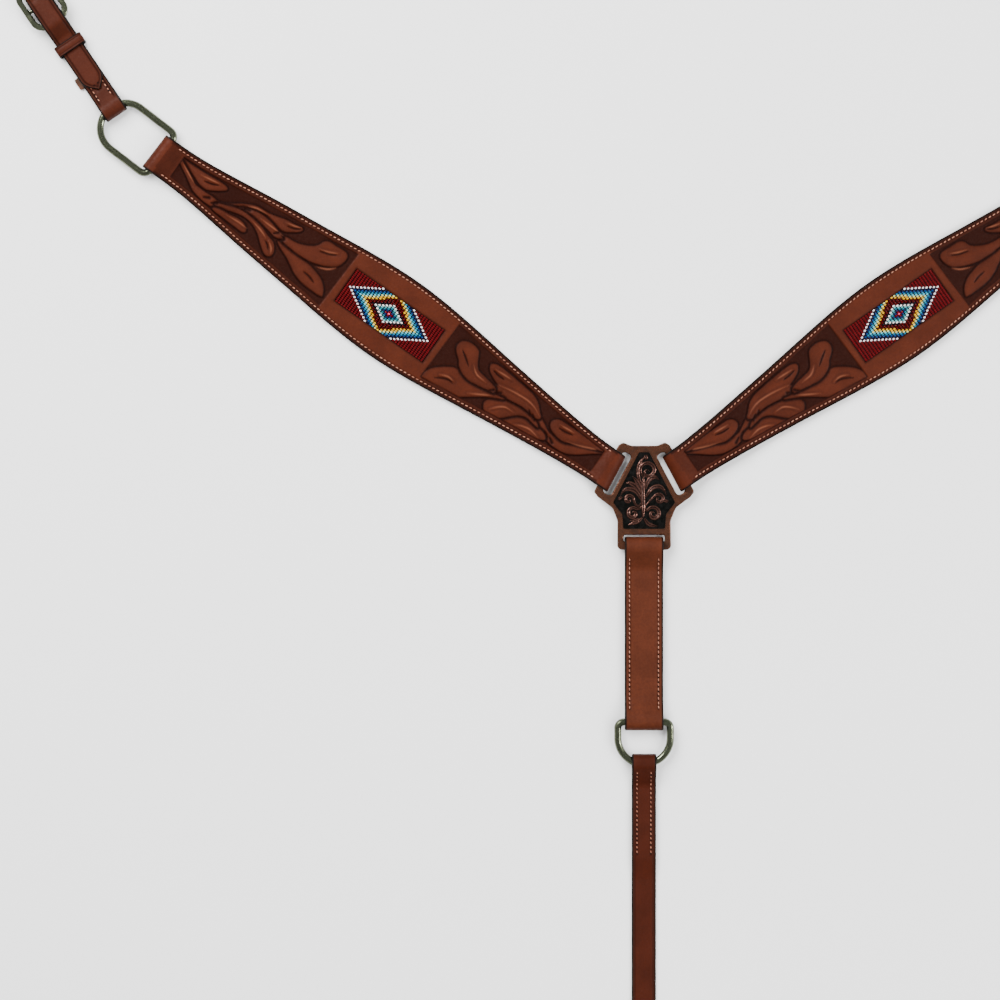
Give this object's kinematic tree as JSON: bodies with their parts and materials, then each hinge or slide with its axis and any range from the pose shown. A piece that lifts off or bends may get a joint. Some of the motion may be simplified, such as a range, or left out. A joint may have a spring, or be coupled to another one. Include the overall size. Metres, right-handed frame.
{
  "type": "horse breast collar",
  "caption": "Western breast collar for a horse: tooled leather wings with beadwork inlays on a cast Y plate, rings, buckled tugs and a girth strap ending in a bolt snap.",
  "frame": {"origin": "on the table it lies on, under the middle of the collar's length and width", "axes": "+Z out of the face of the leather, +Y from the girth snap up to the saddle, +X to the right seen from in front"},
  "size_m": [0.9348, 1.0996, 0.0132],
  "materials": {
    "antique_copper": "antique copper plate, dark in the hollows",
    "black_enamel": "black enamel",
    "tooled_leather": "hand-tooled, oiled",
    "lining_leather": "smooth lining leather",
    "strap_leather": "smooth bridle leather, dark edges",
    "bead_backing": "woven thread",
    "beads": "opaque glass seed beads",
    "antique_nickel": "antique nickel plate",
    "spring_steel": "bright spring wire"
  },
  "bodies": {
    "centre": {"centre_plate": "antique_copper", "enamel_fill": "black_enamel", "scrollwork": "antique_copper"},
    "right_wing": {"right_wing_face": "tooled_leather", "right_wing_lining": "lining_leather", "right_bead_backing": "bead_backing", "right_bead_panel": "beads"},
    "right_ring": {"right_ring": "antique_nickel"},
    "right_tug": {"right_tug_strap": "strap_leather", "right_tug_tab": "strap_leather"},
    "right_keeper": {"right_keeper": "strap_leather"},
    "right_buckle": {"right_buckle_frame": "antique_nickel"},
    "right_tongue": {"right_buckle_tongue": "antique_nickel"},
    "left_wing": {"left_wing_face": "tooled_leather", "left_wing_lining": "lining_leather", "left_bead_backing": "bead_backing", "left_bead_panel": "beads"},
    "left_ring": {"left_ring": "antique_nickel"},
    "left_tug": {"left_tug_strap": "strap_leather", "left_tug_tab": "strap_leather"},
    "left_keeper": {"left_keeper": "strap_leather"},
    "left_buckle": {"left_buckle_frame": "antique_nickel"},
    "left_tongue": {"left_buckle_tongue": "antique_nickel"},
    "drop_strap": {"drop_strap": "strap_leather"},
    "dee": {"dee": "antique_nickel"},
    "girth_strap": {"girth_strap": "strap_leather"},
    "snap_eye": {"snap_eye": "antique_nickel"},
    "snap": {"snap_body": "antique_nickel", "snap_spring": "spring_steel"},
    "snap_bolt": {"snap_bolt": "antique_nickel"}
  },
  "joints": [
    {"name": "right_wing_pivot", "type": "hinge", "parent": "centre", "child": "right_wing", "pos_m": [0.0228, 0.14439, 0.0056], "axis": [0.4695, -0.8829, 0], "range_deg": [-75, 75]},
    {"name": "right_ring_pivot", "type": "hinge", "parent": "right_wing", "child": "right_ring", "pos_m": [0.3195, 0.35214, 0.0056], "axis": [-0.6088, 0.7934, 0], "range_deg": [-100, 100]},
    {"name": "right_tug_pivot", "type": "hinge", "parent": "right_ring", "child": "right_tug", "pos_m": [0.35143, 0.38314, 0.0056], "axis": [0.829, -0.5592, 0], "range_deg": [-100, 100]},
    {"name": "right_buckle_pivot", "type": "hinge", "parent": "right_tug", "child": "right_buckle", "pos_m": [0.39801, 0.45219, 0.00675], "axis": [0.829, -0.5592, 0], "range_deg": [-2, 2]},
    {"name": "right_tongue_pivot", "type": "hinge", "parent": "right_buckle", "child": "right_tongue", "pos_m": [0.39801, 0.45219, 0.00675], "axis": [0.829, -0.5592, 0], "range_deg": [0, 4]},
    {"name": "right_keeper_slide", "type": "slide", "parent": "right_tug", "child": "right_keeper", "axis": [0.5592, 0.829, 0], "range_m": [-0.015, 0.001]},
    {"name": "left_wing_pivot", "type": "hinge", "parent": "centre", "child": "left_wing", "pos_m": [-0.0228, 0.14439, 0.0056], "axis": [0.4695, 0.8829, 0], "range_deg": [-75, 75]},
    {"name": "left_ring_pivot", "type": "hinge", "parent": "left_wing", "child": "left_ring", "pos_m": [-0.3195, 0.35214, 0.0056], "axis": [-0.6088, -0.7934, 0], "range_deg": [-100, 100]},
    {"name": "left_tug_pivot", "type": "hinge", "parent": "left_ring", "child": "left_tug", "pos_m": [-0.35143, 0.38314, 0.0056], "axis": [0.829, 0.5592, 0], "range_deg": [-100, 100]},
    {"name": "left_buckle_pivot", "type": "hinge", "parent": "left_tug", "child": "left_buckle", "pos_m": [-0.39801, 0.45219, 0.00675], "axis": [0.829, 0.5592, 0], "range_deg": [-2, 2]},
    {"name": "left_tongue_pivot", "type": "hinge", "parent": "left_buckle", "child": "left_tongue", "pos_m": [-0.39801, 0.45219, 0.00675], "axis": [0.829, 0.5592, 0], "range_deg": [0, 4]},
    {"name": "left_keeper_slide", "type": "slide", "parent": "left_tug", "child": "left_keeper", "axis": [-0.5592, 0.829, 0], "range_m": [-0.015, 0.001]},
    {"name": "drop_strap_pivot", "type": "hinge", "parent": "centre", "child": "drop_strap", "pos_m": [0, 0.09429, 0.0056], "axis": [-1, 0, 0], "range_deg": [-90, 90]},
    {"name": "dee_pivot", "type": "hinge", "parent": "drop_strap", "child": "dee", "pos_m": [0, -0.02251, 0.0056], "axis": [1, 0, 0], "range_deg": [-100, 100]},
    {"name": "girth_strap_pivot", "type": "hinge", "parent": "dee", "child": "girth_strap", "pos_m": [0, -0.04917, 0.0056], "axis": [-1, 0, 0], "range_deg": [-100, 100]},
    {"name": "snap_eye_pivot", "type": "hinge", "parent": "girth_strap", "child": "snap_eye", "pos_m": [0, -0.47917, 0.0056], "axis": [1, 0, 0], "range_deg": [-100, 100]},
    {"name": "snap_swivel", "type": "hinge", "parent": "snap_eye", "child": "snap", "pos_m": [0, -0.47917, 0.0056], "axis": [0, -1, 0], "continuous": true},
    {"name": "snap_bolt_slide", "type": "slide", "parent": "snap", "child": "snap_bolt", "axis": [0, 1, 0], "range_m": [0, 0.008], "stiffness_N_per_m": 250, "springref_m": -0.01, "deforming": ["snap_spring"]}
  ]
}
